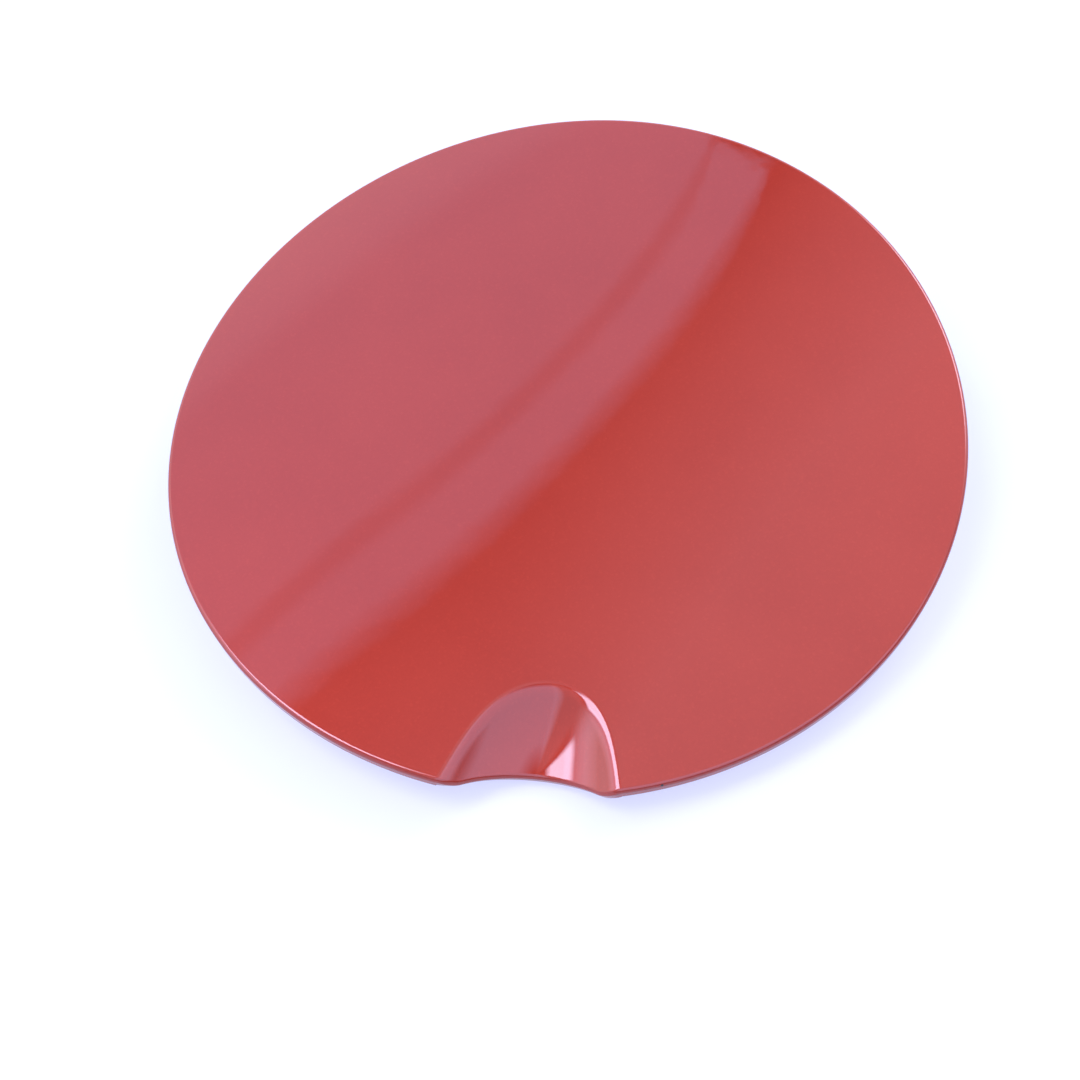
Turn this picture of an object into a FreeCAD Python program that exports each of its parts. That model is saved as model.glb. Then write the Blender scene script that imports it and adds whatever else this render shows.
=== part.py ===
import FreeCAD, Part

import math
import os

from FreeCAD import Vector

os.makedirs("parts", exist_ok=True)

# A round fuel filler flap lying face up. The origin is on the hinge bracket's mounting face, midway
# between its two screw holes. +Z is the way the painted face looks and the finger scoop is at -Y.

# ---- driving dimensions, in millimetres and degrees ----
PANEL_RADIUS = 82.5
CROWN_RADIUS_TIGHT = 514.0      # crown of the skin along its tighter direction
CROWN_RADIUS_WIDE = 2200.0      # crown across that direction
CROWN_TURN = -26.4              # the tighter direction, from +X
SKIN = 0.9                      # painted sheet
HEM_HEIGHT = 2.8                # skin, caught flange and return
HEM_RETURN_WIDTH = 9.0

SCOOP_Y = -75.8                 # centre of the finger scoop, from the panel's centre
SCOOP_RADIUS = 15.9             # of its mouth, in plan
SCOOP_DEPTH = 6.0
NOTCH_RIM_Y = -75.9             # where the scoop cuts the rim back to
NOTCH_RADIUS = 22.6
NOTCH_CORNER = 5.0

HINGE_TO_CENTRE = 62.0          # hinge axis to the panel's centre, along Y
HINGE_BELOW_FACE = 16.0         # hinge axis below the face's highest point
HINGE_Y = 12.0                  # hinge axis from the screw holes
HINGE_Z = 9.5                   # hinge axis above the mounting face
PIN_RADIUS = 2.5
PIN_GAP = 0.05                  # running clearance in the bushes

INNER_SHEET = 0.8
DISH_BOTTOM = 6.5               # depth of the reinforcement's floor below the face's highest point
DISH_FLOOR_RADIUS = 58.0
DISH_MOUTH_RADIUS = 67.0
INNER_FLANGE_RADIUS = 81.0
SCOOP_CLEARANCE = 20.0          # radius cut out of the reinforcement round the scoop
HOLE_RADIUS = 8.0               # lightening holes

ARM_SHEET = 2.0
ARM_HALF_WIDTH = 12.0
ARM_LENGTH = 44.0
ARM_REAR = 4.8                  # how far the arm reaches behind the hinge axis
WING_HALF_WIDTH = 16.5
WING_FRONT = 7.0
BUSH_RADIUS = 3.5
BUSH_FLANGE_RADIUS = 4.8
BUSH_FLANGE = 0.8
EYE_RADIUS = 5.6

BRACKET_SHEET = 2.0
BRACKET_EAR_INSIDE = 13.0
BRACKET_EAR_TOP = 5.2           # radius of the ears about the hinge axis
SCREW_SPACING = 40.0
SCREW_HOLE_RADIUS = 2.75
FOOT_HALF_LENGTH = 28.0
FOOT_FRONT = -9.0
FOOT_REAR = 7.0
OPEN_ANGLE = 100.0
STOP_GAP = 0.3                  # left between a stop pad and what it meets

WIRE_RADIUS = 0.65
COIL_RADIUS = 4.1
COIL_TURNS = 4.5
COIL_PITCH = 1.5
SPRING_LEG = 14.0

# ---- places that follow from them ----
PANEL = Vector(0, HINGE_Y - HINGE_TO_CENTRE, HINGE_Z + HINGE_BELOW_FACE)
HINGE = Vector(0, HINGE_Y, HINGE_Z)
X, Y, Z = Vector(1, 0, 0), Vector(0, 1, 0), Vector(0, 0, 1)


def box(x0, x1, y0, y1, z0, z1):
    return Part.makeBox(x1 - x0, y1 - y0, z1 - z0, Vector(x0, y0, z0))


def rod(radius, start, along, length):
    return Part.makeCylinder(radius, length, start, along)


def tube(outer, inner, start, along, length):
    return rod(outer, start, along, length).cut(rod(inner, start, along, length))


def side_plate(points, x, thickness):
    """A plate cut to an outline in the Y-Z plane."""
    wire = Part.makePolygon([Vector(x, y, z) for y, z in points + points[:1]])
    return Part.Face(wire).extrude(Vector(thickness, 0, 0))


def rounded(shape, radius, choose):
    """Fillet the edges that choose() picks."""
    edges = [edge for edge in shape.Edges if choose(edge)]
    return shape.makeFillet(radius, edges)


def upright(edge):
    """True for a straight edge along Z."""
    if edge.Curve.TypeId != "Part::GeomLine":
        return False
    return abs(edge.tangentAt(edge.FirstParameter).z) > 0.999


def save(name, shape):
    shape = shape.removeSplitter()
    print(name, "valid" if shape.isValid() else "NOT VALID", len(shape.Solids), round(shape.Volume, 1))
    shape.exportStep("parts/" + name + ".step")


# ---- the crowned face, about the panel's centre ----
def crowned_face(reach=100.0):
    """The face's outer surface: a parabola each way, held exactly by a 3 by 3 Bezier patch."""
    turn = math.radians(CROWN_TURN)
    along = Vector(math.cos(turn), math.sin(turn), 0)
    across = Vector(-math.sin(turn), math.cos(turn), 0)
    places = [-reach, 0.0, reach]
    heights = [-1.0, 1.0, -1.0]
    poles = []
    for u, hu in zip(places, heights):
        row = []
        for v, hv in zip(places, heights):
            z = hu * reach ** 2 / (2 * CROWN_RADIUS_TIGHT) + hv * reach ** 2 / (2 * CROWN_RADIUS_WIDE)
            row.append(along * u + across * v + Z * z)
        poles.append(row)
    patch = Part.BezierSurface()
    patch.increase(2, 2)
    for i in range(3):
        for j in range(3):
            patch.setPole(i + 1, j + 1, poles[i][j])
    return patch.toShape()


def face_height(x, y):
    turn = math.radians(CROWN_TURN)
    u = x * math.cos(turn) + y * math.sin(turn)
    v = -x * math.sin(turn) + y * math.cos(turn)
    return -u * u / (2 * CROWN_RADIUS_TIGHT) - v * v / (2 * CROWN_RADIUS_WIDE)


def scoop_ball():
    """The ball that presses the finger scoop."""
    radius = (SCOOP_RADIUS ** 2 + SCOOP_DEPTH ** 2) / (2 * SCOOP_DEPTH)
    step = 0.01
    slope_x = (face_height(step, SCOOP_Y) - face_height(-step, SCOOP_Y)) / (2 * step)
    slope_y = (face_height(0, SCOOP_Y + step) - face_height(0, SCOOP_Y - step)) / (2 * step)
    normal = Vector(-slope_x, -slope_y, 1).normalize()
    centre = Vector(0, SCOOP_Y, face_height(0, SCOOP_Y)) + normal * (radius - SCOOP_DEPTH)
    return Part.makeSphere(radius, centre)


def below_face(depth, scooped=True):
    """Everything under the outer surface lowered by depth, with the scoop pressed in."""
    block = crowned_face().extrude(Vector(0, 0, -40))
    if scooped:
        block = block.cut(scoop_ball())
    block.translate(Vector(0, 0, -depth))
    return block


def outline(inset=0.0):
    """The panel's outline with its notch, as an upright prism."""
    panel_radius = PANEL_RADIUS - inset
    notch_radius = NOTCH_RADIUS + inset
    corner = max(NOTCH_CORNER - inset, 0.5)
    notch_y = NOTCH_RIM_Y - NOTCH_RADIUS
    reach_panel = panel_radius - corner
    reach_notch = notch_radius + corner
    y = -(notch_y ** 2 + reach_panel ** 2 - reach_notch ** 2) / (2 * abs(notch_y))
    x = math.sqrt(reach_panel ** 2 - y ** 2)
    right = Vector(x, y, 0)
    left = Vector(-x, y, 0)
    notch = Vector(0, notch_y, 0)

    def toward(start, end, length):
        return start + (end - start).normalize() * length

    right_rim = right * (panel_radius / reach_panel)
    left_rim = left * (panel_radius / reach_panel)
    right_notch = toward(notch, right, notch_radius)
    left_notch = toward(notch, left, notch_radius)
    right_tip = toward(right, (right_rim + right_notch) * 0.5, corner)
    left_tip = toward(left, (left_rim + left_notch) * 0.5, corner)
    edges = [
        Part.Arc(right_rim, Vector(0, panel_radius, 0), left_rim).toShape(),
        Part.Arc(left_rim, left_tip, left_notch).toShape(),
        Part.Arc(left_notch, Vector(0, notch_y + notch_radius, 0), right_notch).toShape(),
        Part.Arc(right_notch, right_tip, right_rim).toShape(),
    ]
    prism = Part.Face(Part.Wire(edges)).extrude(Vector(0, 0, 60))
    prism.translate(Vector(0, 0, -40))
    return prism


def outer_panel():
    """Painted skin with its scoop, the rim folded down and back under the reinforcement's flange."""
    surface = below_face(0)
    skin = surface.cut(below_face(SKIN)).common(outline())
    edge = below_face(SKIN).cut(below_face(HEM_HEIGHT)).common(outline().cut(outline(SKIN)))
    fold = below_face(HEM_HEIGHT - SKIN).cut(below_face(HEM_HEIGHT))
    fold = fold.common(outline().cut(outline(HEM_RETURN_WIDTH)))
    panel = skin.fuse([edge, fold]).removeSplitter()
    panel.translate(PANEL)
    return panel


def dish(outward):
    """The space over the reinforcement's floor, grown by outward."""
    mouth_z = 8.0
    slope = (DISH_MOUTH_RADIUS - DISH_FLOOR_RADIUS) / (DISH_BOTTOM - 1.5)
    floor_z = -DISH_BOTTOM + INNER_SHEET - outward
    floor_radius = DISH_FLOOR_RADIUS + outward * 0.4
    height = mouth_z - floor_z
    return Part.makeCone(floor_radius, floor_radius + slope * height, height, Vector(0, 0, floor_z))


def inner_panel():
    """Stamped reinforcement: a dished floor, a sloping wall and a flange caught in the hem."""
    over_floor = dish(0)
    under_floor = dish(INNER_SHEET)
    flange = below_face(SKIN + 0.1, False).cut(below_face(SKIN + 0.1 + INNER_SHEET, False))
    flange = flange.common(rod(INNER_FLANGE_RADIUS, Vector(0, 0, -40), Z, 60)).cut(over_floor)
    wall = under_floor.cut(over_floor).common(below_face(SKIN + 0.1, False))
    sheet = flange.fuse(wall)
    sheet = sheet.cut(rod(SCOOP_CLEARANCE, Vector(0, SCOOP_Y, -40), Z, 60))
    for x, y in ((38, 8), (-38, 8), (22, -44), (-22, -44)):
        sheet = sheet.cut(rod(HOLE_RADIUS, Vector(x, y, -20), Z, 40))
    for y in ARM_RIVET_Y:
        sheet = sheet.cut(rod(2.5, Vector(0, y, -20), Z, 40))
    for x, y in CAP_RIVETS:
        sheet = sheet.cut(rod(2.5, Vector(x, y + CAP_HOLDER_Y, -20), Z, 40))
    for y in LOCK_RIVET_Y:
        sheet = sheet.cut(rod(2.0, Vector(0, y, -20), Z, 40))
    for x in (-BUFFER_X, BUFFER_X):
        sheet = sheet.cut(rod(BUFFER_NECK, Vector(x, BUFFER_Y, -20), Z, 40))
    sheet.translate(PANEL)
    return sheet


def mastic_pads():
    """Dabs that fill the gap between reinforcement and skin and stop the skin drumming."""
    pads = []
    for x, y in ((26, 38), (-26, 38), (46, -6), (-46, -6), (22, -22), (-22, -22)):
        dab = rod(6.0, Vector(x, y, -DISH_BOTTOM + INNER_SHEET), Z, 12)
        pads.append(dab.common(below_face(SKIN, False)))
    pads = Part.makeCompound(pads)
    pads.translate(PANEL)
    return pads


# ---- fastener places, from the panel's centre ----
ARM_RIVET_Y = (HINGE_TO_CENTRE - 19.0, HINGE_TO_CENTRE - 36.0)
CAP_HOLDER_Y = -8.0
CAP_RIVETS = ((-23.5, 0.0), (12.5, 20.0), (12.5, -20.0))    # from the holder's centre
LOCK_RIVET_Y = (-51.0, -31.5)
BUFFER_X = 40.0
BUFFER_Y = -28.0
BUFFER_NECK = 3.0


def rivet(x, y, radius, head_radius, top, bottom, head):
    """A round-headed rivet that clamps from top to bottom, in panel heights."""
    shank = rod(radius, Vector(x, y, bottom), Z, top - bottom)
    upper = rod(head_radius, Vector(x, y, top), Z, head)
    lower = rod(head_radius, Vector(x, y, bottom - head), Z, head)
    upper = rounded(upper, head * 0.6, lambda e: e.BoundBox.ZMin > top + head * 0.9)
    lower = rounded(lower, head * 0.6, lambda e: e.BoundBox.ZMax < bottom - head * 0.9)
    return shank.fuse([upper, lower])


def hinge_arm():
    """Folded arm: a web under the reinforcement and two ears down to the hinge."""
    top = HINGE_BELOW_FACE - DISH_BOTTOM
    web_bottom = top - ARM_SHEET
    web = box(-ARM_HALF_WIDTH, ARM_HALF_WIDTH, -ARM_LENGTH, ARM_REAR, web_bottom, top)
    wings = box(-WING_HALF_WIDTH, WING_HALF_WIDTH, -WING_FRONT, ARM_REAR, web_bottom, top)
    arm = web.fuse(wings).removeSplitter()
    arm = rounded(arm, 3.0, lambda e: upright(e) and e.BoundBox.YMax < -ARM_LENGTH + 1)
    arm = rounded(arm, 1.0, lambda e: upright(e) and e.BoundBox.XLength < 0.1 and abs(e.BoundBox.XMax) > 14)
    tab_top = -COIL_RADIUS - WIRE_RADIUS - 0.05
    tab_bottom = tab_top - 1.5
    profile = [(-34, web_bottom), (ARM_REAR, web_bottom), (5.3, 1.8), (-4.4, -3.4), (-13, 1.2)]
    lug = [(-20, 2), (-4.4, -3.4), (-8.5, tab_bottom), (-12.5, tab_bottom)]
    for side in (-1, 1):
        x = ARM_HALF_WIDTH - ARM_SHEET if side > 0 else -ARM_HALF_WIDTH
        ear = side_plate(profile, x, ARM_SHEET)
        if side > 0:
            ear = ear.fuse(side_plate(lug, x, ARM_SHEET))
        ear = ear.fuse(rod(EYE_RADIUS, Vector(x, 0, 0), X, ARM_SHEET)).removeSplitter()
        arm = arm.fuse(ear)
        arm = arm.cut(rod(BUSH_RADIUS, Vector(x - 1, 0, 0), X, ARM_SHEET + 2))
    # a tab bent inward from the right ear takes the spring's lower leg
    arm = arm.fuse(box(1.0, ARM_HALF_WIDTH, -12.5, -8.5, tab_bottom, tab_top))
    arm = arm.removeSplitter()
    arm.translate(HINGE)
    for y in ARM_RIVET_Y:
        arm = arm.cut(rod(2.5, PANEL + Vector(0, y, -20), Z, 20))
    return arm


def backing_plate():
    """Doubler that spreads the arm's rivets over the reinforcement's floor."""
    top = -DISH_BOTTOM + INNER_SHEET
    middle = (ARM_RIVET_Y[0] + ARM_RIVET_Y[1]) / 2
    plate = box(-11, 11, middle - 15, middle + 15 - 3.5, top, top + 1.0)
    plate = rounded(plate, 4.0, upright)
    for y in ARM_RIVET_Y:
        plate = plate.cut(rod(2.5, Vector(0, y, -20), Z, 40))
    plate.translate(PANEL)
    return plate


def arm_rivets():
    top = -DISH_BOTTOM + INNER_SHEET + 1.0
    bottom = -DISH_BOTTOM - ARM_SHEET
    group = [rivet(0, y, 2.5, 4.5, top, bottom, 1.6) for y in ARM_RIVET_Y]
    group = Part.makeCompound(group)
    group.translate(PANEL)
    return group


def bush(side):
    """Flanged nylon bush pressed into one of the arm's ears; the flange runs on the bracket."""
    barrel_start = Vector(side * (ARM_HALF_WIDTH - ARM_SHEET), 0, 0)
    flange_start = Vector(side * ARM_HALF_WIDTH, 0, 0)
    barrel = rod(BUSH_RADIUS, barrel_start, X * side, ARM_SHEET)
    flange = rod(BUSH_FLANGE_RADIUS, flange_start, X * side, BUSH_FLANGE)
    shape = barrel.fuse(flange)
    shape = shape.cut(rod(PIN_RADIUS + PIN_GAP, barrel_start - X * side, X * side, 6))
    shape.translate(HINGE)
    return shape


def spacer_tube():
    """Nylon tube on the pin, inside the spring: it keeps the arm's ears apart and the coil quiet."""
    half = ARM_HALF_WIDTH - ARM_SHEET - 0.3
    shape = tube(PIN_RADIUS + 0.6, PIN_RADIUS + PIN_GAP, Vector(-half, 0, 0), X, 2 * half)
    shape.translate(HINGE)
    return shape


def stop_pads():
    """Rubber pads under the arm's wings. They meet the bracket's ears shut and fully open."""
    web_bottom = HINGE_BELOW_FACE - DISH_BOTTOM - ARM_SHEET
    pad_bottom = BRACKET_EAR_TOP + STOP_GAP
    pads = []
    for side in (-1, 1):
        x0, x1 = sorted((side * (ARM_HALF_WIDTH + 0.4), side * (WING_HALF_WIDTH - 0.3)))
        pad = box(x0, x1, -WING_FRONT + 0.4, ARM_REAR - 0.4, pad_bottom, web_bottom)
        pads.append(rounded(pad, 0.6, lambda e: e.BoundBox.ZMax < pad_bottom + 0.1))
    pads = Part.makeCompound(pads)
    pads.translate(HINGE)
    return pads


def cap_holder():
    """Moulded fork: the fuel cap's grip slides in between base and lips from the +X side."""
    top = -DISH_BOTTOM
    half_x, half_y = 19.0, 15.5
    base_bottom = top - 2.0
    lip_top = base_bottom - 4.6
    lip_bottom = lip_top - 1.8
    base = box(-half_x, half_x, -half_y, half_y, base_bottom, top)
    block = box(-half_x, half_x, -half_y, half_y, lip_bottom, base_bottom)
    block = block.cut(box(-half_x + 3, half_x + 1, -half_y + 3, half_y - 3, lip_top, base_bottom))
    block = block.cut(box(-8, half_x + 1, -6.5, 6.5, lip_bottom - 1, lip_top + 1))
    block = block.cut(rod(6.5, Vector(-8, 0, lip_bottom - 1), Z, 4))
    holder = base.fuse(block).removeSplitter()
    corners = lambda e: upright(e) and abs(e.BoundBox.XMax) > half_x - 1 and abs(e.BoundBox.YMax) > half_y - 1
    holder = rounded(holder, 2.5, corners)
    for x, y in CAP_RIVETS:
        inward = Vector(-x, -y, 0).normalize() * 8.0
        lug = rod(5.0, Vector(x, y, base_bottom), Z, 2.0)
        bridge = box(min(x, x + inward.x) - 0.01, max(x, x + inward.x) + 0.01, y - 5.0, y + 5.0, base_bottom, top)
        if abs(y) > 1:
            bridge = box(x - 5.0, x + 5.0, min(y, y + inward.y), max(y, y + inward.y), base_bottom, top)
        holder = holder.fuse([lug, bridge])
    holder = holder.removeSplitter()
    for x, y in CAP_RIVETS:
        holder = holder.cut(rod(2.5, Vector(x, y, -30), Z, 40))
    holder.translate(PANEL + Vector(0, CAP_HOLDER_Y, 0))
    return holder


def cap_holder_rivets():
    top = -DISH_BOTTOM + INNER_SHEET
    bottom = -DISH_BOTTOM - 2.0
    group = [rivet(x, y + CAP_HOLDER_Y, 2.5, 4.2, top, bottom, 1.3) for x, y in CAP_RIVETS]
    group = Part.makeCompound(group)
    group.translate(PANEL)
    return group


def buffer(side):
    """Rubber buffer pushed through the reinforcement; its head meets the filler bowl's seat."""
    top = -DISH_BOTTOM + INNER_SHEET
    head = Part.makeCone(5.0, 6.0, 5.0, Vector(0, 0, -DISH_BOTTOM - 5.0))
    head = rounded(head, 1.5, lambda e: e.BoundBox.ZMax < -DISH_BOTTOM - 4.9)
    neck = rod(BUFFER_NECK, Vector(0, 0, -DISH_BOTTOM), Z, INNER_SHEET)
    barb = Part.makeCone(4.2, 2.6, 2.2, Vector(0, 0, top))
    shape = head.fuse([neck, barb])
    shape.translate(PANEL + Vector(side * BUFFER_X, BUFFER_Y, 0))
    return shape


def lock_loop():
    """Steel strip bent into a loop; the lock's pin slides through it along X."""
    top = -DISH_BOTTOM
    inside, sheet = 4.8, 1.5
    middle = (LOCK_RIVET_Y[0] + LOCK_RIVET_Y[1]) / 2
    rise = box(-5, 5, middle - 6.0 - 0.1, middle + 6.1, top - inside - sheet, top)
    rise = rounded(rise, 1.8, lambda e: e.BoundBox.ZMax < top - inside - 1.4 and e.BoundBox.XLength > 9)
    feet = box(-5, 5, LOCK_RIVET_Y[0] - 4.5, LOCK_RIVET_Y[1] + 4.5, top - sheet, top)
    feet = rounded(feet, 2.5, upright)
    loop = rise.fuse(feet)
    slot = box(-6, 6, middle - 4.6, middle + 4.6, top - inside, top + 1)
    loop = loop.cut(slot).removeSplitter()
    for y in LOCK_RIVET_Y:
        loop = loop.cut(rod(2.0, Vector(0, y, -30), Z, 40))
    loop.translate(PANEL)
    return loop


def lock_loop_rivets():
    top = -DISH_BOTTOM + INNER_SHEET
    bottom = -DISH_BOTTOM - 1.5
    group = [rivet(0, y, 2.0, 3.4, top, bottom, 1.2) for y in LOCK_RIVET_Y]
    group = Part.makeCompound(group)
    group.translate(PANEL)
    return group


def hinge_bracket():
    """T-shaped foot with two ears folded up round the pin, and a hook for the spring's other leg."""
    ear_outside = BRACKET_EAR_INSIDE + BRACKET_SHEET
    rear = HINGE_Y + 4.5
    foot = box(-FOOT_HALF_LENGTH, FOOT_HALF_LENGTH, FOOT_FRONT, FOOT_REAR - 2.5, 0, BRACKET_SHEET)
    foot = rounded(foot, 5.0, upright)
    neck = box(-ear_outside, ear_outside, FOOT_FRONT + 5, rear, 0, BRACKET_SHEET)
    bracket = foot.fuse(neck)
    turn = math.radians(OPEN_ANGLE)
    tangent = (BRACKET_EAR_TOP * math.sin(turn), BRACKET_EAR_TOP * math.cos(turn))
    drop = tangent[1] + HINGE_Z
    foot_rear = (tangent[0] - drop * math.tan(turn - math.pi / 2), -HINGE_Z)
    front = -WING_FRONT
    profile = [(front, -HINGE_Z), (front, 1.0), (-5.2, BRACKET_EAR_TOP), (0, BRACKET_EAR_TOP), tangent, foot_rear]
    for side in (-1, 1):
        x = BRACKET_EAR_INSIDE if side > 0 else -ear_outside
        ear = side_plate(profile, x, BRACKET_SHEET)
        ear = ear.fuse(rod(BRACKET_EAR_TOP, Vector(x, 0, 0), X, BRACKET_SHEET)).removeSplitter()
        ear = ear.cut(rod(PIN_RADIUS, Vector(x - 1, 0, 0), X, BRACKET_SHEET + 2))
        ear.translate(HINGE)
        bracket = bracket.fuse(ear)
    # the hook over the spring's upper leg, lanced up from the foot
    hook_bottom = HINGE_Z + COIL_RADIUS + WIRE_RADIUS
    hook = box(-9.4, -7.9, HINGE_Y - 13.0, HINGE_Y - 9.0, 0, hook_bottom + 1.5)
    reach = box(-9.4, -1.0, HINGE_Y - 13.0, HINGE_Y - 9.0, hook_bottom, hook_bottom + 1.5)
    bracket = bracket.fuse([hook, reach]).removeSplitter()
    for side in (-1, 1):
        hole = rod(SCREW_HOLE_RADIUS, Vector(side * SCREW_SPACING / 2, 0, -1), Z, 6)
        bracket = bracket.cut(hole)
    return bracket


def hinge_pin():
    """Headed steel pin through both pairs of ears, grooved for its clip."""
    head_end = BRACKET_EAR_INSIDE + BRACKET_SHEET
    shank = rod(PIN_RADIUS, Vector(-head_end, 0, 0), X, 2 * head_end + 3.0)
    shank = shank.cut(tube(PIN_RADIUS + 1, PIN_RADIUS - 0.5, Vector(head_end + 0.2, 0, 0), X, 0.9))
    shank = shank.makeChamfer(0.4, [e for e in shank.Edges if e.BoundBox.XMin > head_end + 2.9])
    head = rod(4.4, Vector(-head_end, 0, 0), X * -1, 1.6)
    head = rounded(head, 0.9, lambda e: e.BoundBox.XMax < -head_end - 1.5)
    pin = shank.fuse(head)
    pin.translate(HINGE)
    return pin


def pin_clip():
    """E-shaped clip in the pin's groove."""
    start = Vector(BRACKET_EAR_INSIDE + BRACKET_SHEET + 0.25, 0, 0)
    clip = tube(4.6, PIN_RADIUS - 0.5, start, X, 0.7)
    clip = clip.cut(box(start.x - 1, start.x + 2, -1.4, 1.4, -6, 0))
    for side in (-1, 1):
        relief = rod(1.1, Vector(start.x - 1, side * 2.6, 0.4), X, 3)
        clip = clip.cut(relief)
    clip.translate(HINGE)
    return clip


def closing_spring():
    """Torsion spring: a coil round the pin and two legs toward the panel's middle. Opening winds it up."""
    length = COIL_TURNS * COIL_PITCH
    helix = Part.makeHelix(COIL_PITCH, length, COIL_RADIUS)
    along = Vector(0, COIL_RADIUS, COIL_PITCH / (2 * math.pi))
    circle = Part.Circle(Vector(COIL_RADIUS, 0, 0), along, WIRE_RADIUS)
    coil = Part.Wire(helix).makePipeShell([Part.Wire(circle.toShape())], True, True)
    coil.rotate(Vector(0, 0, 0), Z, -90)
    coil.rotate(Vector(0, 0, 0), Y, 90)
    coil.rotate(Vector(0, 0, 0), X, 90)
    coil.translate(Vector(-length / 2, 0, 0))
    coil = coil.mirror(Vector(0, 0, 0), X)
    slant = COIL_PITCH / (2 * math.pi * COIL_RADIUS)
    bracket_leg = rod(WIRE_RADIUS, Vector(-length / 2, 0, COIL_RADIUS), Vector(-slant, -1, 0), SPRING_LEG)
    arm_leg = rod(WIRE_RADIUS, Vector(length / 2, 0, -COIL_RADIUS), Vector(slant, -1, 0), SPRING_LEG)
    shape = coil.fuse([bracket_leg, arm_leg])
    shape.translate(HINGE)
    return shape


save("outer_panel", outer_panel())
save("inner_panel", inner_panel())
save("mastic_pads", mastic_pads())
save("hinge_arm", hinge_arm())
save("arm_rivets", arm_rivets())
save("backing_plate", backing_plate())
save("left_bush", bush(-1))
save("right_bush", bush(1))
save("spacer_tube", spacer_tube())
save("stop_pads", stop_pads())
save("cap_holder", cap_holder())
save("cap_holder_rivets", cap_holder_rivets())
save("left_buffer", buffer(-1))
save("right_buffer", buffer(1))
save("lock_loop", lock_loop())
save("lock_loop_rivets", lock_loop_rivets())
save("hinge_bracket", hinge_bracket())
save("hinge_pin", hinge_pin())
save("pin_clip", pin_clip())
save("closing_spring", closing_spring())
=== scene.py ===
import math

import bpy
import numpy as np
from mathutils import Matrix, Vector


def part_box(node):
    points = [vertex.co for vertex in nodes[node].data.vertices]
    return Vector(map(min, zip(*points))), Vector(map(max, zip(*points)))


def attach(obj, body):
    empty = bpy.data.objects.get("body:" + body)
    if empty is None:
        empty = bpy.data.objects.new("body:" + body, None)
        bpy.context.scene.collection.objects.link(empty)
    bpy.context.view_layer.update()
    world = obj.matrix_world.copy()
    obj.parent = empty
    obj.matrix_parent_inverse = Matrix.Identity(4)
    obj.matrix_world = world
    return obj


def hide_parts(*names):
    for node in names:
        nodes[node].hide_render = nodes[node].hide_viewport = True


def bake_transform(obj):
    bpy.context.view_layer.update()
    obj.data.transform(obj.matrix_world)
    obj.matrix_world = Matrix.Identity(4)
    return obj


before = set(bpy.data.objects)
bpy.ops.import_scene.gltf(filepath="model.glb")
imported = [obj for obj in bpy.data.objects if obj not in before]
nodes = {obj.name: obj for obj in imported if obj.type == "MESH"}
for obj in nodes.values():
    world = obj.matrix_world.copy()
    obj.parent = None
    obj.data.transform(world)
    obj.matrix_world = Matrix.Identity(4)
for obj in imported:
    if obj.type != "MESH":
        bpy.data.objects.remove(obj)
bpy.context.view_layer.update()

MM = 0.001

# ---- the flap's face, in millimetres about its centre ----
PANEL_RADIUS = 82.5
CROWN_TIGHT, CROWN_WIDE = 514.0, 2200.0                 # radii along and across the crown's turned line
CROWN_TURN = math.radians(-26.4)
SKIN, HEM = 0.9, 2.8                                    # the sheet, and the whole folded edge
ROPE = 0.6                                              # how far the fold hangs below its return
HEM_RETURN, HEM_INSIDE = 9.0, 1.3                       # the return's width, and the bend's inner wall
TOP_ROUND, BOTTOM_ROUND = 0.95, 1.2                     # radii of the hem's two bends
NOTCH_RIM_Y, NOTCH_RADIUS, NOTCH_CORNER = -76.4, 22.6, 6.5
SCOOP_Y = -83.0
SCOOP_HALF_WIDTH, SCOOP_HALF_LENGTH, SCOOP_DEPTH = 16.6, 23.2, 6.8
SCOOP_FLATNESS = 0.75                                   # 0 is half an egg, near 1 a shallow cap of one
SCOOP_LEAN, SCOOP_WAIST = 2.3, 0.26                     # its top leans over, its middle is drawn in
SCOOP_TOP_FROM, SCOOP_TOP_OVER = 2.0, 20.0              # where its top begins, from SCOOP_Y
SHOULDER_TOP, SHOULDER_MOUTH = 0.95, 1.6                # how softly the scoop's edge rolls over
OUTSIDE_SCOOP = 1000.0

low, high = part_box("outer_panel")
CENTRE = Vector((0.0, round(high.y / MM - PANEL_RADIUS, 1), round(high.z / MM, 2)))


def crown(x, y):
    """Height of the plain face, falling away from its centre."""
    u = x * math.cos(CROWN_TURN) + y * math.sin(CROWN_TURN)
    v = -x * math.sin(CROWN_TURN) + y * math.cos(CROWN_TURN)
    return -u * u / (2 * CROWN_TIGHT) - v * v / (2 * CROWN_WIDE)


def toward_top(y):
    """0 at the scoop's mouth, 1 where it runs out into the face."""
    return np.clip((y - SCOOP_Y - SCOOP_TOP_FROM) / SCOOP_TOP_OVER, 0.0, 1.3)


def scoop(x, y):
    """The underside of an egg pressed into the face, and far above the face outside it."""
    t = toward_top(y)
    x = x - SCOOP_LEAN * t
    x = x * (1 + SCOOP_WAIST * t * (1 - t))
    fit = math.sqrt(1 - SCOOP_FLATNESS ** 2)
    height = SCOOP_DEPTH / (1 - SCOOP_FLATNESS)
    left = 1 - (x * fit / SCOOP_HALF_WIDTH) ** 2 - ((y - SCOOP_Y) * fit / SCOOP_HALF_LENGTH) ** 2
    level = crown(0, SCOOP_Y)
    level = level + (crown(0.5, SCOOP_Y) - crown(-0.5, SCOOP_Y)) * x
    level = level + (crown(0, SCOOP_Y + 0.5) - crown(0, SCOOP_Y - 0.5)) * (y - SCOOP_Y)
    egg = level + height * (SCOOP_FLATNESS - np.sqrt(np.maximum(left, 0.0)))
    return np.where(left > 0, egg, OUTSIDE_SCOOP)


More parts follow.
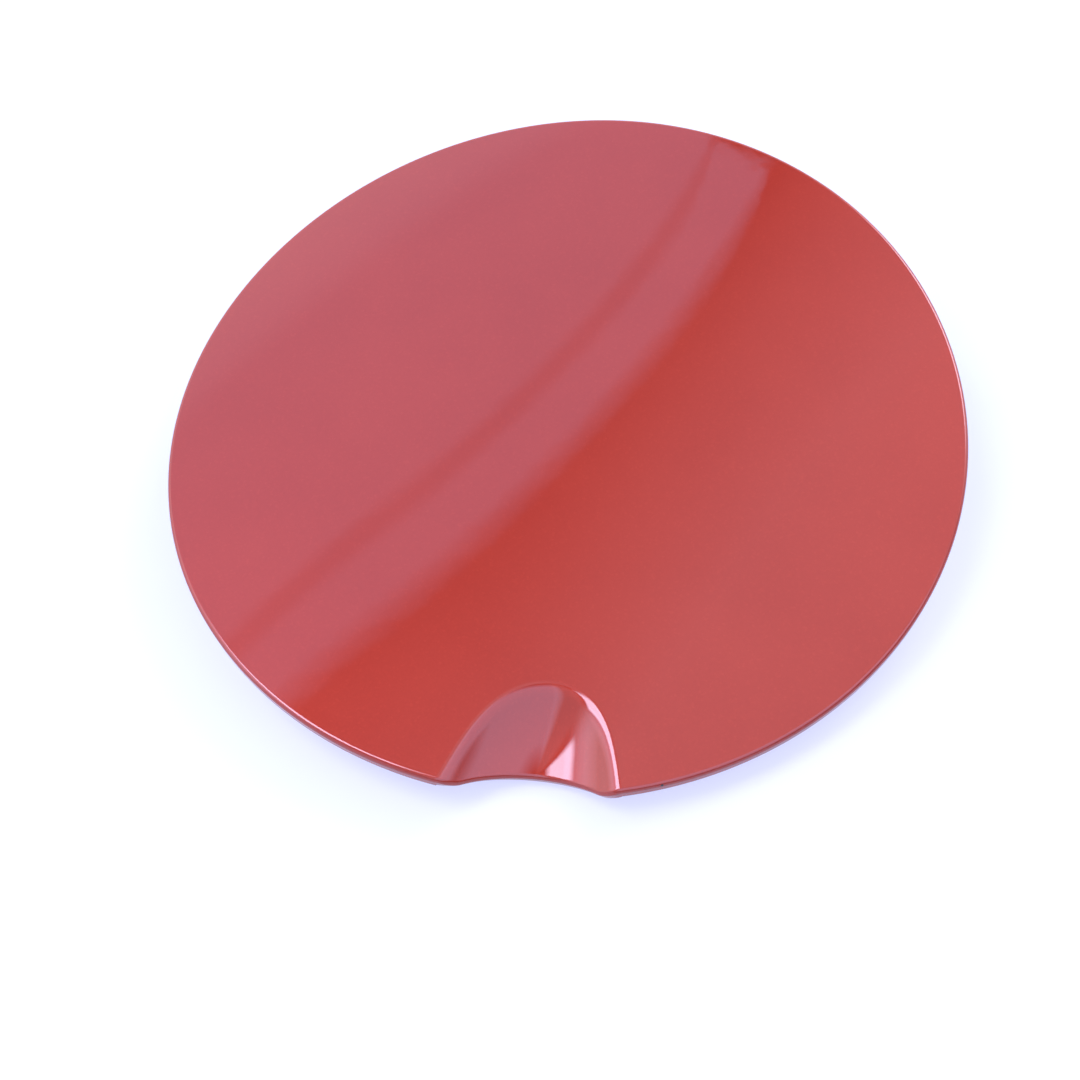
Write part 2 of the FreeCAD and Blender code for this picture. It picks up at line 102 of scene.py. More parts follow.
def face(x, y):
    """Height of the painted face, with the scoop's edge rolled over."""
    a, b = crown(x, y), scoop(x, y)
    soft = SHOULDER_MOUTH + (SHOULDER_TOP - SHOULDER_MOUTH) * np.minimum(toward_top(y), 1.0)
    h = np.maximum(soft - np.abs(a - b), 0.0) / soft
    return np.minimum(a, b) - h * h * soft / 4


def face_normal(x, y):
    """Directions square to the face."""
    step = 0.02
    gx = (face(x + step, y) - face(x - step, y)) / (2 * step)
    gy = (face(x, y + step) - face(x, y - step)) / (2 * step)
    n = np.stack([-gx, -gy, np.ones_like(gx)], -1)
    return n / np.linalg.norm(n, axis=-1, keepdims=True)


def outline(phi, inset=0.0):
    """Points of the flap's outline, moved in by inset, and their outward directions in plan."""
    radius = PANEL_RADIUS - inset
    notch_r = NOTCH_RADIUS + inset
    corner = max(NOTCH_CORNER - inset, 0.5)
    notch_y = NOTCH_RIM_Y - NOTCH_RADIUS

    # the corner's centre, and the two directions at which the outline changes arc
    y = -(notch_y ** 2 + (radius - corner) ** 2 - (notch_r + corner) ** 2) / (2 * abs(notch_y))
    x = math.sqrt((radius - corner) ** 2 - y ** 2)
    rim_x, rim_y = x * radius / (radius - corner), y * radius / (radius - corner)
    arc_x = x * notch_r / (notch_r + corner)
    arc_y = notch_y + (y - notch_y) * notch_r / (notch_r + corner)
    corner_start = math.atan2(rim_x, -rim_y)
    corner_end = math.atan2(arc_x, -arc_y)

    d = np.stack([np.cos(phi), np.sin(phi)], -1)
    off = np.abs((phi + math.pi / 2 + math.pi) % (2 * math.pi) - math.pi)
    point = d * radius
    normal = d.copy()
    for k in range(len(phi)):
        if off[k] <= corner_end:
            centre = np.array([0.0, notch_y])
            along = d[k] @ centre
            t = along - math.sqrt(along ** 2 - (centre @ centre - notch_r ** 2))
            point[k] = d[k] * t
            normal[k] = (centre - point[k]) / notch_r
        elif off[k] <= corner_start:
            centre = np.array([math.copysign(x, d[k][0]), y])
            along = d[k] @ centre
            t = along + math.sqrt(max(along ** 2 - (centre @ centre - corner ** 2), 0.0))
            point[k] = d[k] * t
            normal[k] = (point[k] - centre) / corner
    return point, normal


def ring_faces(count, rings):
    """Faces of rings of points, one inside the other, closed by a first and a last point."""
    faces = []
    for k in range(count):
        faces.append((0, 1 + k, 1 + (k + 1) % count))
    for i in range(rings - 1):
        a, b = 1 + i * count, 1 + (i + 1) * count
        for k in range(count):
            j = (k + 1) % count
            faces.append((a + k, b + k, b + j, a + j))
    last = 1 + (rings - 1) * count
    for k in range(count):
        faces.append((last + k, last + count, last + (k + 1) % count))
    return faces


def panel_mesh():
    """The folded skin as rings of points: face, rolled rim, return, and the skin's hidden side."""
    fine = np.radians(np.arange(-16.0, 16.0, 0.25))         # round the notch
    coarse = np.radians(np.arange(16.0, 344.0, 1.5))        # the rest of the rim
    phi = np.concatenate([fine, coarse]) - math.pi / 2
    rim, out = outline(phi)
    start = rim - out * TOP_ROUND
    rings, normals = [], []

    def lay(points, z, n=None):
        rings.append(np.concatenate([points, z[:, None]], 1))
        normals.append(n)

    length = PANEL_RADIUS - TOP_ROUND
    reaches = list(np.arange(2.0, 54.0, 2.6)) + list(np.arange(54.0, length, 0.32)) + [length]
    for reach in reaches:
        p = start * reach / length
        lay(p, face(p[:, 0], p[:, 1]), face_normal(p[:, 0], p[:, 1]))

    # the rolled rim, square to the face where it starts
    base = rings[-1]
    up = normals[-1]
    away = np.concatenate([out, np.zeros((len(phi), 1))], 1)
    away -= up * (away * up).sum(1, keepdims=True)
    away /= np.linalg.norm(away, axis=1, keepdims=True)

    def roll(outward, down, n_out, n_up):
        p = base + away * outward - up * down
        rings.append(p)
        normals.append(away * n_out + up * n_up)

    for a in np.radians(np.linspace(0, 90, 9))[1:]:
        roll(TOP_ROUND * math.sin(a), TOP_ROUND * (1 - math.cos(a)), math.sin(a), math.cos(a))
    deep = HEM + ROPE
    for a in np.radians(np.linspace(0, 90, 8)):
        down = deep - BOTTOM_ROUND + BOTTOM_ROUND * math.sin(a)
        roll(TOP_ROUND - BOTTOM_ROUND * (1 - math.cos(a)), down, math.cos(a), -math.sin(a))

    # the return, its free edge, back out inside the fold, and up to the skin's hidden side
    edge = rings[-1][:, :2]
    inner, _ = outline(phi, HEM_RETURN)
    for share, rope in ((0.1, 0.9), (0.2, 0.6), (0.35, 0.2), (0.5, 0.0), (0.75, 0.0), (0.96, 0.0)):
        p = edge * (1 - share) + inner * share
        lay(p, face(p[:, 0], p[:, 1]) - HEM - ROPE * rope)
    z = face(inner[:, 0], inner[:, 1])
    lay(inner, z - HEM + 0.15)
    lay(inner, z - HEM + SKIN - 0.1)
    fold, _ = outline(phi, HEM_INSIDE)
    lay(inner * 0.98 + fold * 0.02, z - HEM + SKIN)
    z = face(fold[:, 0], fold[:, 1])
    lay(fold, z - HEM + SKIN)
    lay(fold, z - SKIN)
    for reach in [*np.arange(length - 1.0, 55.0, -0.7), *np.arange(54.0, 3.0, -6.0)]:
        p = start * reach / length
        lay(p, face(p[:, 0], p[:, 1]) - SKIN)

    count = len(phi)
    verts = [np.array([[0.0, 0.0, float(face(np.zeros(1), np.zeros(1))[0])]])] + rings
    verts.append(verts[0] - np.array([[0, 0, SKIN]]))
    verts = np.concatenate(verts)
    faces = ring_faces(count, len(rings))
    mesh = bpy.data.meshes.new("flap_skin")
    mesh.from_pydata([tuple((Vector(v) + CENTRE) * MM) for v in verts.tolist()], [], faces)
    mesh.shade_smooth()
    mesh.update()
    custom = [Vector(v.normal) for v in mesh.vertices]
    for i, n in enumerate(normals):
        if n is not None:
            for k in range(count):
                custom[1 + i * count + k] = Vector(n[k]).normalized()
    mesh.normals_split_custom_set_from_vertices([tuple(n) for n in custom])
    return mesh


# ---- materials ----
class Shader:
    """A node material, with short calls for what the materials below share."""

    def __init__(self, name, **values):
        self.material = bpy.data.materials.new(name)
        self.material.use_nodes = True
        self.tree = self.material.node_tree
        self.bsdf = self.tree.nodes["Principled BSDF"]
        for key, value in values.items():
            self.bsdf.inputs[key.replace("_", " ")].default_value = value
        self.coords = self.node("ShaderNodeTexCoord").outputs["Object"]

    def node(self, kind, **settings):
        made = self.tree.nodes.new(kind)
        for key, value in settings.items():
            setattr(made, key, value)
        return made

    def link(self, a, b):
        self.tree.links.new(a, b)

    def noise(self, scale, detail=3.0, roughness=0.5, stretch=None):
        made = self.node("ShaderNodeTexNoise")
        made.inputs["Scale"].default_value = scale
        made.inputs["Detail"].default_value = detail
        made.inputs["Roughness"].default_value = roughness
        source = self.coords
        if stretch:
            mapping = self.node("ShaderNodeMapping")
            mapping.inputs["Scale"].default_value = stretch
            self.link(source, mapping.inputs["Vector"])
            source = mapping.outputs["Vector"]
        self.link(source, made.inputs["Vector"])
        return made.outputs["Fac"]

    def cells(self, scale, output="Color"):
        made = self.node("ShaderNodeTexVoronoi")
        made.inputs["Scale"].default_value = scale
        self.link(self.coords, made.inputs["Vector"])
        return made.outputs[output]

    def ramp(self, source, stops):
        made = self.node("ShaderNodeValToRGB")
        band = made.color_ramp
        while len(band.elements) < len(stops):
            band.elements.new(0.5)
        for element, (place, colour) in zip(band.elements, stops):
            element.position = place
            element.color = (*colour, 1.0) if len(colour) == 3 else colour
        self.link(source, made.inputs["Fac"])
        return made.outputs["Color"]

    def span(self, source, low_in, high_in, low_out, high_out):
        made = self.node("ShaderNodeMapRange")
        for key, value in (("From Min", low_in), ("From Max", high_in), ("To Min", low_out), ("To Max", high_out)):
            made.inputs[key].default_value = value
        self.link(source, made.inputs["Value"])
        return made.outputs["Result"]

    def bump(self, height, strength, distance, under=None):
        made = self.node("ShaderNodeBump")
        made.inputs["Strength"].default_value = strength
        made.inputs["Distance"].default_value = distance
        self.link(height, made.inputs["Height"])
        if under is not None:
            self.link(under, made.inputs["Normal"])
        return made.outputs["Normal"]

    def drive(self, key, source):
        self.link(source, self.bsdf.inputs[key])


# stone chips on the near rim: where they are in the frame, and their radius, in millimetres
CHIPS = [((4.2, -125.8, 17.7), 0.32), ((25.0, -128.5, 21.0), 0.26)]
CHIP_RAGGED, CHIP_EDGE = 0.4, 0.1


def chip_mask(s):
    """1 in the chips and 0 outside them, with a ragged edge."""
    chips = None
    for spot, size in CHIPS:
        near = s.node("ShaderNodeVectorMath", operation="DISTANCE")
        near.inputs[1].default_value = [v * MM for v in spot]
        s.link(s.coords, near.inputs[0])
        ragged = s.node("ShaderNodeMath", operation="MULTIPLY_ADD")
        s.link(s.noise(2400.0), ragged.inputs[0])
        ragged.inputs[1].default_value = CHIP_RAGGED * MM
        s.link(near.outputs["Value"], ragged.inputs[2])
        start = size + CHIP_RAGGED / 2
        chip = s.span(ragged.outputs[0], start * MM, (start + CHIP_EDGE) * MM, 1.0, 0.0)
        if chips is not None:
            both = s.node("ShaderNodeMath", operation="MAXIMUM")
            s.link(chips, both.inputs[0])
            s.link(chip, both.inputs[1])
            chip = both.outputs[0]
        chips = chip
    return chips


def paint_material():
    """Metallic orange-red base coat under a clear coat with a slight orange peel."""
    s = Shader("metallic_red_paint", Metallic=0.22, Roughness=0.42, Specular_IOR_Level=0.0,
               Coat_Weight=1.0, Coat_Roughness=0.025, Coat_IOR=1.6)
    tint = s.ramp(s.noise(38.0, 2.0), [(0.35, (0.280, 0.0220, 0.0108)), (0.65, (0.292, 0.0240, 0.0118))])
    flakes = s.node("ShaderNodeSeparateColor")
    s.link(s.cells(2600.0), flakes.inputs["Color"])
    # each flake's tone varies at random, and the brightest tenth are lifted toward white as a painted glint
    flake_tone_and_painted_glint = s.ramp(flakes.outputs["Red"], [(0.0, (0.96, 0.95, 0.95)), (0.9, (1.0, 1.0, 1.0)),
                                             (1.0, (1.06, 1.1, 1.1))])
    base_coat = s.node("ShaderNodeMix", data_type="RGBA", blend_type="MULTIPLY")
    base_coat.inputs["Factor"].default_value = 1.0
    s.link(tint, base_coat.inputs["A"])
    s.link(flake_tone_and_painted_glint, base_coat.inputs["B"])
    chipped = s.node("ShaderNodeMix", data_type="RGBA")
    chipped.inputs["B"].default_value = (0.012, 0.012, 0.014, 1)
    s.link(chip_mask(s), chipped.inputs["Factor"])
    s.link(base_coat.outputs["Result"], chipped.inputs["A"])
    s.drive("Base Color", chipped.outputs["Result"])
    s.drive("Normal", s.bump(flakes.outputs["Green"], 0.12, 0.0002))
    s.drive("Coat Normal", s.bump(s.noise(300.0, 1.0, 0.4), 0.012, 0.0006))
    return s.material


def primer_material():
    """Primed pressing with the body colour sprayed thinly and unevenly over it."""
    s = Shader("primed_steel_with_overspray", Roughness=0.5, Specular_IOR_Level=0.4)
    s.drive("Base Color", s.ramp(s.noise(26.0, 4.0, 0.6), [(0.38, (0.19, 0.024, 0.016)), (0.55, (0.24, 0.022, 0.014)),
                                                           (0.72, (0.215, 0.035, 0.026))]))
    s.drive("Roughness", s.span(s.noise(55.0, 3.0), 0.3, 0.7, 0.40, 0.62))
    s.drive("Normal", s.bump(s.noise(900.0, 2.0), 0.10, 0.0002, s.bump(s.noise(160.0, 2.0), 0.05, 0.0005)))
    return s.material


def mastic_material():
    """Soft dark sealant, skinned over and slightly wrinkled."""
    s = Shader("expanded_mastic", Roughness=0.7)
    s.drive("Base Color", s.ramp(s.noise(240.0, 4.0), [(0.35, (0.020, 0.020, 0.022)), (0.7, (0.055, 0.053, 0.05))]))
    s.drive("Roughness", s.span(s.noise(140.0), 0.3, 0.7, 0.55, 0.8))
    s.drive("Normal", s.bump(s.noise(420.0, 5.0, 0.65), 0.6, 0.0008))
    return s.material


def coated_material():
    """Satin black dip coat on sheet steel."""
    s = Shader("black_dip_coat", Roughness=0.38, Specular_IOR_Level=0.5)
    s.drive("Base Color", s.ramp(s.noise(70.0, 4.0), [(0.3, (0.010, 0.010, 0.011)), (0.75, (0.020, 0.020, 0.021))]))
    s.drive("Roughness", s.span(s.noise(120.0, 4.0), 0.3, 0.7, 0.30, 0.46))
    s.drive("Normal", s.bump(s.noise(520.0, 2.0), 0.12, 0.0003))
    return s.material


def zinc_material():
    """Zinc plating with a faint yellow and blue bloom and fine marks of drawing."""
    s = Shader("zinc_plate", Metallic=1.0, Roughness=0.32)
    s.drive("Base Color", s.ramp(s.noise(95.0, 3.0, 0.6), [(0.3, (0.55, 0.57, 0.60)), (0.5, (0.62, 0.62, 0.61)),
                                                           (0.72, (0.64, 0.60, 0.50))]))
    s.drive("Roughness", s.span(s.noise(310.0, 4.0), 0.3, 0.7, 0.22, 0.42))
    s.drive("Normal", s.bump(s.noise(700.0, 3.0, 0.6, (1.0, 0.25, 1.0)), 0.10, 0.0002))
    return s.material


def spring_material():
    """Oiled spring wire, dark from heat."""
    s = Shader("spring_wire", Metallic=1.0, Roughness=0.3)
    s.drive("Base Color", s.ramp(s.noise(160.0, 3.0), [(0.3, (0.20, 0.19, 0.18)), (0.7, (0.33, 0.32, 0.31))]))
    s.drive("Roughness", s.span(s.noise(600.0, 3.0), 0.3, 0.7, 0.22, 0.42))
    s.drive("Normal", s.bump(s.noise(1500.0, 2.0), 0.12, 0.0001))
    return s.material


def nylon_material():
    """Natural nylon, slightly translucent."""
    s = Shader("natural_nylon", Roughness=0.42, Subsurface_Weight=0.25, Subsurface_Scale=0.001)
    s.drive("Base Color", s.ramp(s.noise(120.0), [(0.3, (0.66, 0.62, 0.53)), (0.7, (0.74, 0.71, 0.63))]))
    s.drive("Roughness", s.span(s.noise(420.0), 0.3, 0.7, 0.36, 0.5))
    s.drive("Normal", s.bump(s.noise(800.0, 2.0), 0.08, 0.0002))
    return s.material


def plastic_material():
    """Black moulding with a spark-eroded grain."""
    s = Shader("grained_black_plastic", Roughness=0.5)
    s.drive("Base Color", s.ramp(s.noise(90.0), [(0.3, (0.012, 0.012, 0.012)), (0.7, (0.021, 0.021, 0.022))]))
    s.drive("Roughness", s.span(s.noise(700.0, 3.0), 0.3, 0.7, 0.42, 0.62))
    s.drive("Normal", s.bump(s.cells(1500.0, "Distance"), 0.35, 0.0002))
    return s.material


def rubber_material():
    """Moulded rubber with a dusty bloom."""
    s = Shader("moulded_rubber", Roughness=0.8, Specular_IOR_Level=0.3)
    s.drive("Base Color", s.ramp(s.noise(180.0, 4.0), [(0.35, (0.014, 0.014, 0.014)), (0.75, (0.036, 0.035, 0.033))]))
    s.drive("Roughness", s.span(s.noise(260.0, 4.0), 0.3, 0.7, 0.65, 0.9))
    s.drive("Normal", s.bump(s.noise(900.0, 3.0), 0.25, 0.0003))
    return s.material


# ---- looks of the pieces that keep their CAD shape ----
paint = paint_material()
primer, mastic, coated, zinc = primer_material(), mastic_material(), coated_material(), zinc_material()
wire, nylon, plastic, rubber = spring_material(), nylon_material(), plastic_material(), rubber_material()

# each piece's material, and how far its edges are softened, in millimetres
LOOKS = {
    "inner_panel": (primer, 0.15),
    "mastic_pads": (mastic, 0.8),
    "hinge_arm": (coated, 0.25),
    "hinge_bracket": (coated, 0.25),
    "arm_rivets": (zinc, 0.3),
    "backing_plate": (zinc, 0.2),
    "lock_loop": (zinc, 0.2),
    "lock_loop_rivets": (zinc, 0.3),
    "hinge_pin": (zinc, 0.3),
    "left_bush": (nylon, 0.15),
    "right_bush": (nylon, 0.15),
    "spacer_tube": (nylon, 0.15),
    "stop_pads": (rubber, 0.4),
    "left_buffer": (rubber, 0.5),
    "right_buffer": (rubber, 0.5),
    "cap_holder": (plastic, 0.35),
    "cap_holder_rivets": (plastic, 0.3),
    "pin_clip": (wire, 0.1),
}
for name, (look, edge) in LOOKS.items():
    piece = nodes[name]
    piece.data.materials.clear()
    piece.data.materials.append(look)
    bevel = piece.modifiers.new("soft_edges", "BEVEL")
    bevel.width = edge * MM
    bevel.segments = 3
    bevel.limit_method = "ANGLE"
    bevel.angle_limit = math.radians(35)
    bevel.use_clamp_overlap = True
    bevel.harden_normals = True


def wire_mesh(name, path, radius, sides=14):
    """A round wire along the points of path, with domed ends."""
    points = [Vector(p) for p in path]
    rings = []
    side = None
    for i, p in enumerate(points):
        ahead = (points[min(i + 1, len(points) - 1)] - points[max(i - 1, 0)]).normalized()
        if side is None:
            side = ahead.orthogonal().normalized()
        side = (side - ahead * side.dot(ahead)).normalized()
        rings.append((p, side.copy(), ahead.cross(side), radius, ahead))
    caps = []
    for f in (0.35, 0.7, 0.92):
        caps.append((f * radius * 0.55, math.sqrt(1 - f * f) * radius))
    start, end = rings[0], rings[-1]
    before = [(start[0] - start[4] * a, start[1], start[2], r, start[4]) for a, r in reversed(caps)]
    after = [(end[0] + end[4] * a, end[1], end[2], r, end[4]) for a, r in caps]
    rings = before + rings + after
    verts, faces = [], []
    for p, s, t, r, _ in rings:
        for k in range(sides):
            a = 2 * math.pi * k / sides
            verts.append((p + s * (math.cos(a) * r) + t * (math.sin(a) * r)) * MM)
    for i in range(len(rings) - 1):
        for k in range(sides):
            j = (k + 1) % sides
            faces.append((i * sides + k, i * sides + j, (i + 1) * sides + j, (i + 1) * sides + k))
    faces.append(tuple(reversed(range(sides))))
    faces.append(tuple((len(rings) - 1) * sides + k for k in range(sides)))
    mesh = bpy.data.meshes.new(name)
    mesh.from_pydata([tuple(v) for v in verts], [], faces)
    mesh.shade_smooth()
    made = bpy.data.objects.new(name, mesh)
    bpy.context.scene.collection.objects.link(made)
    return made


# ---- closing spring, wound round the hinge pin ----
HINGE = Vector((0.0, 12.0, 9.5))
COIL_RADIUS, COIL_TURNS, COIL_PITCH = 4.1, 4.5, 1.5
WIRE_RADIUS, SPRING_LEG = 0.65, 14.0
LEG_STEPS, TURN_STEPS = 12, 40
half = COIL_TURNS * COIL_PITCH / 2
route = []
for step in range(LEG_STEPS):
    route.append(Vector((-half, -SPRING_LEG * (1 - step / LEG_STEPS), COIL_RADIUS)))
coil_steps = int(COIL_TURNS * TURN_STEPS)
for step in range(coil_steps + 1):
    a = math.pi / 2 - 2 * math.pi * COIL_TURNS * step / coil_steps
    x = -half + 2 * half * step / coil_steps
    route.append(Vector((x, COIL_RADIUS * math.cos(a), COIL_RADIUS * math.sin(a))))
for step in range(1, LEG_STEPS + 1):
    route.append(Vector((half, -SPRING_LEG * step / LEG_STEPS, -COIL_RADIUS)))
coil = wire_mesh("spring_wire", [HINGE + p for p in route], WIRE_RADIUS)
coil.data.materials.append(wire)
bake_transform(coil)
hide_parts("closing_spring")

# ---- painted skin ----
skin = bpy.data.objects.new("flap_skin", panel_mesh())
bpy.context.scene.collection.objects.link(skin)
skin.data.materials.append(paint)
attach(skin, "flap")
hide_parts("outer_panel")

# ---- floor: the plane that the flap lies on, on its hinge foot's edge and the scoop's lip ----
FLOOR_HALF = 4.0                # metres
FLOOR_GAP = 0.0001
foot_low, foot_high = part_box("hinge_bracket")
lip = min((v.co for v in skin.data.vertices), key=lambda c: c.z)
rise = math.atan2(lip.z - foot_low.z, foot_low.y - lip.y)
corners = [(x * FLOOR_HALF, y * FLOOR_HALF, 0) for x, y in ((-1, -1), (1, -1), (1, 1), (-1, 1))]
floor_mesh = bpy.data.meshes.new("floor")
floor_mesh.from_pydata(corners, [], [(0, 1, 2, 3)])
floor = bpy.data.objects.new("floor", floor_mesh)
bpy.context.scene.collection.objects.link(floor)
floor.location = (0, foot_low.y, foot_low.z - FLOOR_GAP)
floor.rotation_euler = (-rise, 0, 0)
white = Shader("floor_white", Roughness=0.7, Base_Color=(0.22, 0.22, 0.22, 1),
               Emission_Color=(0.66, 0.69, 1.0, 1), Emission_Strength=0.88)
white.drive("Roughness", white.span(white.noise(60.0, 2.0), 0.3, 0.7, 0.65, 0.75))
# seen from below, the floor is clear
clear = white.node("ShaderNodeBsdfTransparent")
pick = white.node("ShaderNodeMixShader")
white.link(white.node("ShaderNodeNewGeometry").outputs["Backfacing"], pick.inputs["Fac"])
white.link(white.bsdf.outputs["BSDF"], pick.inputs[1])
white.link(clear.outputs["BSDF"], pick.inputs[2])
white.link(pick.outputs["Shader"], white.tree.nodes["Material Output"].inputs["Surface"])
floor_mesh.materials.append(white.material)

# ---- soft light: a tent with a large bluish softbox behind and to the left ----
# Azimuth runs from +Y toward +X and elevation up from level, both in degrees.
world = bpy.data.worlds.new("tent")
bpy.context.scene.world = world
world.use_nodes = True
wt = world.node_tree
wt.nodes.clear()


def wnode(kind, **settings):
    """A new node of the world's light."""
    made = wt.nodes.new(kind)
    for key, value in settings.items():
        setattr(made, key, value)
    return made


def calc(operation, *values):
    """A sum of plain numbers and outputs of other nodes."""
    made = wnode("ShaderNodeMath", operation=operation)
    for i, value in enumerate(values):
        if isinstance(value, (int, float)):
            made.inputs[i].default_value = value
        else:
            wt.links.new(value, made.inputs[i])
    return made.outputs[0]


def ramp(value, *stops):
    """A value that runs straight from stop to stop, each given as where and how much."""
    total = None
    for (x0, y0), (x1, y1) in zip(stops, stops[1:]):
        step = wnode("ShaderNodeMapRange", clamp=True)
        step.inputs["From Min"].default_value = x0
        step.inputs["From Max"].default_value = x1
        step.inputs["To Min"].default_value = 0.0
        step.inputs["To Max"].default_value = y1 - y0
        wt.links.new(value, step.inputs["Value"])
        total = step.outputs[0] if total is None else calc("ADD", total, step.outputs[0])
    return calc("ADD", total, stops[0][1])


direction = wnode("ShaderNodeTexCoord").outputs["Generated"]
parts = wnode("ShaderNodeSeparateXYZ")
wt.links.new(direction, parts.inputs[0])
dx, dy, dz = parts.outputs
azimuth = calc("MULTIPLY", calc("ARCTAN2", dx, dy), 180 / math.pi)
elevation = calc("MULTIPLY", calc("ARCSINE", dz), 180 / math.pi)


def window(middle, half, bottom, top, soft):
    """1 inside a box of azimuth and elevation, fading to 0 over soft degrees."""
    middle = math.radians(middle)
    flat = calc("SQRT", calc("MAXIMUM", calc("SUBTRACT", 1.0, calc("MULTIPLY", dz, dz)), 0.0001))
    toward = calc("ADD", calc("MULTIPLY", dx, math.sin(middle)), calc("MULTIPLY", dy, math.cos(middle)))
    away = calc("ARCCOSINE", calc("MINIMUM", calc("MAXIMUM", calc("DIVIDE", toward, flat), -1.0), 1.0))
    away = calc("MULTIPLY", away, 180 / math.pi)
    across = ramp(away, (half - soft, 1.0), (half + soft, 0.0))
    upward = ramp(elevation, (bottom - soft, 0.0), (bottom + soft, 1.0), (top - soft, 1.0), (top + soft, 0.0))
    return calc("MULTIPLY", across, upward)


def rounded(top, height, middle, reach):
    """Height above a level edge whose right end turns down like a quarter of an ellipse."""
    a = calc("MAXIMUM", calc("SUBTRACT", azimuth, middle), 0.0)
    level = calc("SQRT", calc("MAXIMUM", calc("SUBTRACT", 1.0, calc("POWER", calc("DIVIDE", a, reach), 2.0)), 0.0))
    past = calc("MULTIPLY", calc("MAXIMUM", calc("SUBTRACT", a, reach), 0.0), 8.0)
    edge = calc("SUBTRACT", calc("ADD", calc("MULTIPLY", level, height), top - height), past)
    softer = calc("ADD", 1.0, calc("MULTIPLY", calc("POWER", calc("DIVIDE", a, reach), 6.0), 0.9))
    return calc("DIVIDE", calc("SUBTRACT", elevation, edge), softer)


# the softbox behind: its rounded upper edge, the dark seam across it, and its slanting foot on the right
back_box = ramp(rounded(60.6, 14.6, -28.0, 29.8), (-1.3, 1.0), (1.1, 0.0))
seam = ramp(calc("ABSOLUTE", rounded(55.3, 11.5, -27.0, 23.8)), (0.3, 0.3), (1.3, 0.0))
back_box = calc("MULTIPLY", back_box, calc("SUBTRACT", 1.0, seam))
back_box = calc("MULTIPLY", back_box, window(-40.0, 70.0, 31.0, 85.0, 8.0))
foot_edge = calc("SUBTRACT", elevation, calc("ADD", 46.0, calc("MULTIPLY", azimuth, 0.45)))
foot_cut = calc("MAXIMUM", ramp(foot_edge, (-0.4, 0.0), (0.4, 1.0)), ramp(azimuth, (-4.0, 1.0), (-2.5, 0.0)))
back_box = calc("MULTIPLY", back_box, foot_cut)

# the tent over it: dark just above the softbox and brighter toward the top
bend = calc("MULTIPLY", calc("POWER", calc("MAXIMUM", calc("SUBTRACT", azimuth, -22.0), 0.0), 2.0), 0.0205)
above = calc("SUBTRACT", elevation, calc("SUBTRACT", 60.4, bend))
tent = ramp(above, (-1.0, 0.0), (0.5, 0.1), (5.0, 0.34), (10.0, 0.6), (20.0, 0.95), (32.0, 1.3))
tent = calc("MULTIPLY", tent, window(0.0, 85.0, 20.0, 120.0, 12.0))


def colour(value, rgb):
    """value times a colour."""
    made = wnode("ShaderNodeCombineColor")
    for i, c in enumerate(rgb):
        wt.links.new(calc("MULTIPLY", value, c), made.inputs[i])
    return made.outputs[0]


def add(a, b):
    """Two colours of light together."""
    made = wnode("ShaderNodeMix", data_type="RGBA", blend_type="ADD")
    made.inputs["Factor"].default_value = 1.0
    wt.links.new(a, made.inputs["A"])
    wt.links.new(b, made.inputs["B"])
    return made.outputs["Result"]


LIGHTS = [
    (back_box, (0.53, 0.97, 1.56)),
    (tent, (0.8, 0.7, 0.85)),
    (window(-20.0, 85.0, 3.0, 33.0, 8.0), (1.5, 1.7, 2.0)),             # pale walls
    (window(139.0, 65.0, 27.0, 80.0, 7.0), (1.35, 1.7, 2.6)),           # the room's pale side
    (window(-79.0, 30.0, 52.0, 77.0, 3.0), (9.5, 9.5, 13.0)),           # key light on the left
    (window(-88.0, 30.0, 30.0, 50.0, 7.0), (1.8, 1.5, 1.8)),            # its spill
    (window(36.0, 15.0, 24.0, 45.0, 4.0), (8.0, 8.0, 10.0)),            # key light behind on the right
    (window(-140.0, 22.0, 35.0, 85.0, 6.0), (0.8, 0.65, 0.8)),          # dim front left
    (window(-125.0, 25.0, 0.0, 30.0, 8.0), (0.6, 1.0, 1.5)),            # low front left
    (window(0.0, 200.0, -90.0, 200.0, 1.0), (0.12, 0.15, 0.22)),        # faint light all round
]
total = None
for value, rgb in LIGHTS:
    lit = colour(value, rgb)
    total = lit if total is None else add(total, lit)
back = wnode("ShaderNodeBackground")
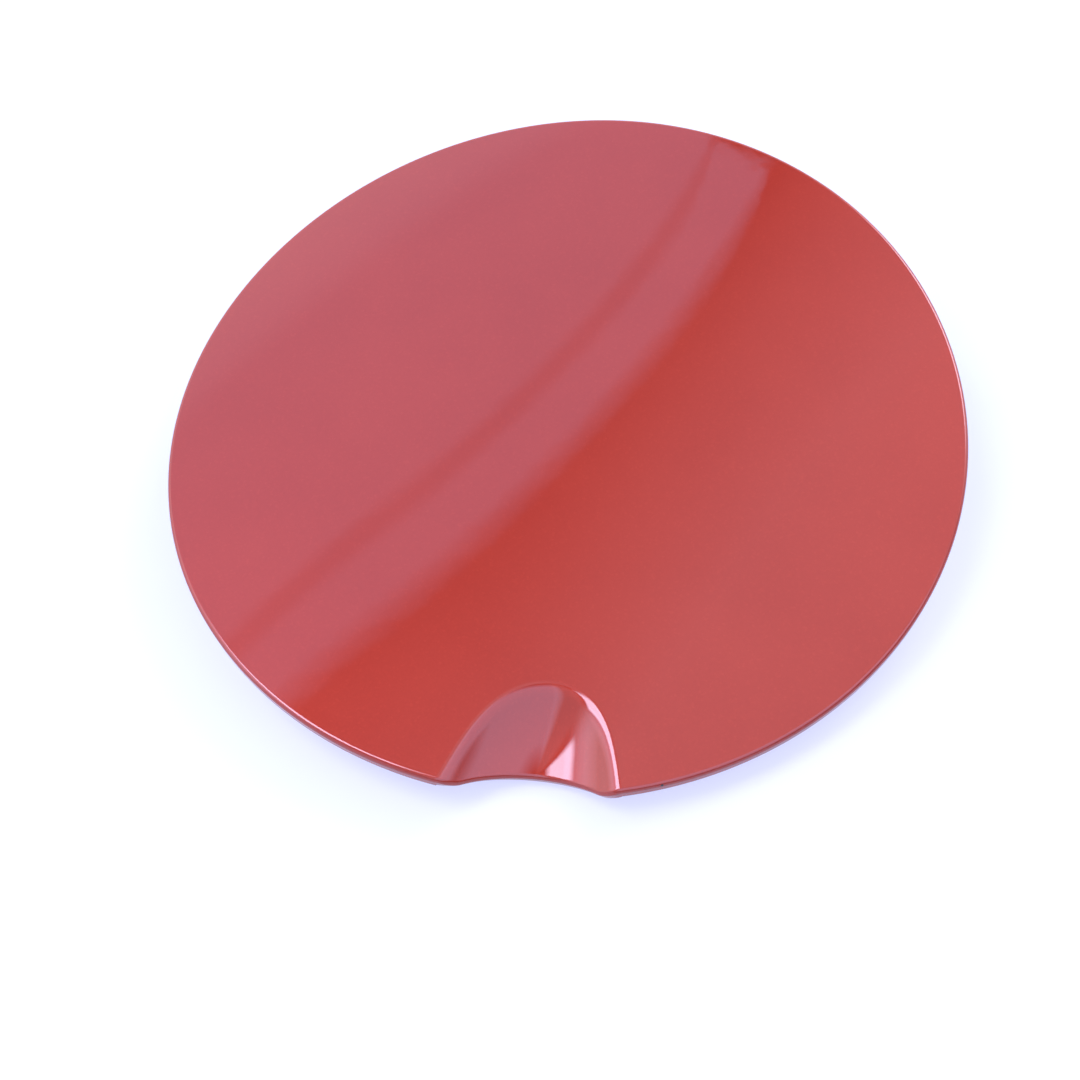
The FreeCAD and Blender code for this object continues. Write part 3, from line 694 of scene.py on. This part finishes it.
wt.links.new(total, back.inputs["Color"])
# the camera sees plain white past the floor's edge
backdrop = wnode("ShaderNodeBackground")
backdrop.inputs["Color"].default_value = (1.0, 1.0, 1.0, 1)
shown_to = wnode("ShaderNodeMixShader")
wt.links.new(wnode("ShaderNodeLightPath").outputs["Is Camera Ray"], shown_to.inputs["Fac"])
wt.links.new(back.outputs[0], shown_to.inputs[1])
wt.links.new(backdrop.outputs[0], shown_to.inputs[2])
wt.links.new(shown_to.outputs[0], wnode("ShaderNodeOutputWorld").inputs[0])

# ---- camera: looks at the flap from above the near edge, a little from the right ----
CAMERA_AZIMUTH, CAMERA_ELEVATION, CAMERA_ROLL = math.radians(11.3), math.radians(55.84), math.radians(-8.07)
CAMERA_REACH = 449.3            # from the flap's centre
CAMERA_LENS, CAMERA_SENSOR = 73.333, 36.0
FLAP_AT = Vector((0.00941, 0.05509, -1.0))      # the flap's centre as the camera sees it
level = math.cos(CAMERA_ELEVATION)
back = Vector((math.sin(CAMERA_AZIMUTH) * level, -math.cos(CAMERA_AZIMUTH) * level, math.sin(CAMERA_ELEVATION)))
right = Vector((math.cos(CAMERA_AZIMUTH), math.sin(CAMERA_AZIMUTH), 0))
up = back.cross(right)
rolled_right = right * math.cos(CAMERA_ROLL) + up * math.sin(CAMERA_ROLL)
rolled_up = up * math.cos(CAMERA_ROLL) - right * math.sin(CAMERA_ROLL)
turned = Matrix((rolled_right, rolled_up, back))
swing = Vector((0, 0, -1)).rotation_difference(FLAP_AT.normalized()).to_matrix()
place = Matrix.Translation((CENTRE + back * CAMERA_REACH) * MM)
camera = bpy.data.objects.new("camera", bpy.data.cameras.new("camera"))
bpy.context.scene.collection.objects.link(camera)
camera.data.sensor_width = CAMERA_SENSOR
camera.data.lens = CAMERA_LENS
camera.matrix_world = place @ (swing @ turned).transposed().to_4x4()
camera.data.clip_start, camera.data.clip_end = 0.01, 50.0
bpy.context.scene.camera = camera
bpy.context.scene.view_settings.view_transform = "Standard"
bpy.context.scene.view_settings.look = "None"
